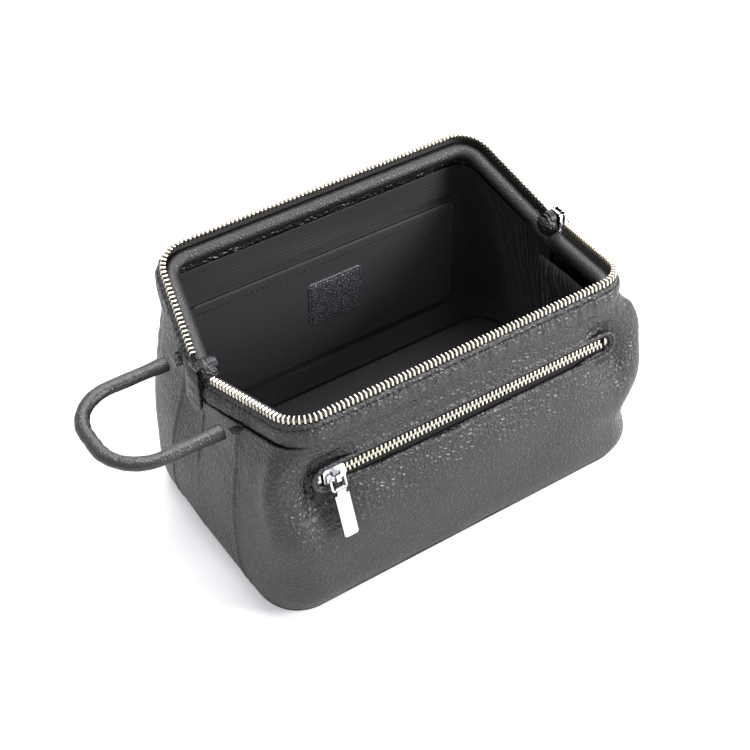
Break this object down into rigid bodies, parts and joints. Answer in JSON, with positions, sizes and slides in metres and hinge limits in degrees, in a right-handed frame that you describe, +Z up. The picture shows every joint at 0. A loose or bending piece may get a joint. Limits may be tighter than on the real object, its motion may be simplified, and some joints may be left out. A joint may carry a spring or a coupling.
{
  "type": "framed toiletry bag",
  "caption": "Leather toiletry bag with a hinged frame that holds its zipped mouth wide open, a zipped front pocket, an inner slip pocket and an end handle.",
  "frame": {"origin": "middle of the base, on the surface the bag stands on", "axes": "+X along the bag away from the handle, +Y to the back wall, +Z up"},
  "size_m": [0.3066, 0.1663, 0.1466],
  "materials": {
    "leather": "milled grain, semi-gloss",
    "lining": "fine ribbed twill",
    "zip_tape": "woven tape",
    "zip_teeth": "nickel-plated, pale gold",
    "chrome": "polished nickel",
    "frame_steel": "plated",
    "board": "plain board",
    "cord": "twisted cord"
  },
  "bodies": {
    "bag": {"back_panel": "leather", "base_board": "board", "base_panel": "leather", "front_panel": "leather", "handle_stubs": "leather", "leather_patch": "leather", "left_gusset": "leather", "left_hinge_rivet": "frame_steel", "lining_back": "lining", "lining_base": "lining", "lining_front": "lining", "lining_left": "lining", "lining_right": "lining", "mouth_slider": "chrome", "mouth_tape_end": "zip_tape", "pocket_pouch": "lining", "pocket_stops": "zip_teeth", "pocket_tape_lower": "zip_tape", "pocket_tape_upper": "zip_tape", "pocket_teeth_lower": "zip_teeth", "pocket_teeth_upper": "zip_teeth", "right_gusset": "leather", "right_hinge_rivet": "frame_steel", "slip_pocket": "lining", "zip_end_tab": "leather"},
    "front_frame": {"front_frame_casing": "leather", "front_frame_wire": "frame_steel", "front_mouth_tape": "zip_tape", "front_mouth_teeth": "zip_teeth", "front_rim_band": "leather"},
    "back_frame": {"back_frame_casing": "leather", "back_frame_wire": "frame_steel", "back_mouth_tape": "zip_tape", "back_mouth_teeth": "zip_teeth", "back_rim_band": "leather"},
    "handle": {"handle": "leather", "handle_core": "cord"},
    "pocket_slider": {"pocket_slider": "chrome"},
    "pocket_bail": {"pocket_bail": "chrome"},
    "pocket_puller": {"pocket_puller": "chrome"},
    "mouth_bail": {"mouth_bail": "chrome"},
    "mouth_puller": {"mouth_puller": "chrome"}
  },
  "joints": [
    {"name": "front_frame_hinge", "type": "hinge", "parent": "bag", "child": "front_frame", "pos_m": [0, 0.009, 0.1193], "axis": [-1, 0, 0], "range_deg": [0, 79.2]},
    {"name": "back_frame_hinge", "type": "hinge", "parent": "bag", "child": "back_frame", "pos_m": [0, 0.009, 0.1193], "axis": [1, 0, 0], "range_deg": [0, 67.5]},
    {"name": "handle_bend", "type": "hinge", "parent": "bag", "child": "handle", "pos_m": [-0.121, 0.004, 0.1085], "axis": [0, 1, 0], "range_deg": [-75, 75]},
    {"name": "pocket_slide", "type": "slide", "parent": "bag", "child": "pocket_slider", "axis": [1, 0, 0], "range_m": [0, 0.165]},
    {"name": "pocket_bail_hinge", "type": "hinge", "parent": "pocket_slider", "child": "pocket_bail", "pos_m": [-0.0825, -0.06839, 0.09231], "axis": [-1, 0, 0], "range_deg": [0, 100]},
    {"name": "pocket_puller_hinge", "type": "hinge", "parent": "pocket_bail", "child": "pocket_puller", "pos_m": [-0.0825, -0.07118, 0.08535], "axis": [-1, 0, 0], "range_deg": [0, 65]},
    {"name": "mouth_bail_hinge", "type": "hinge", "parent": "bag", "child": "mouth_bail", "pos_m": [0.1191, 0.009, 0.1163], "axis": [0, -1, 0], "range_deg": [0, 100]},
    {"name": "mouth_puller_hinge", "type": "hinge", "parent": "mouth_bail", "child": "mouth_puller", "pos_m": [0.1204, 0.009, 0.10891], "axis": [0, -1, 0], "range_deg": [0, 65]}
  ]
}
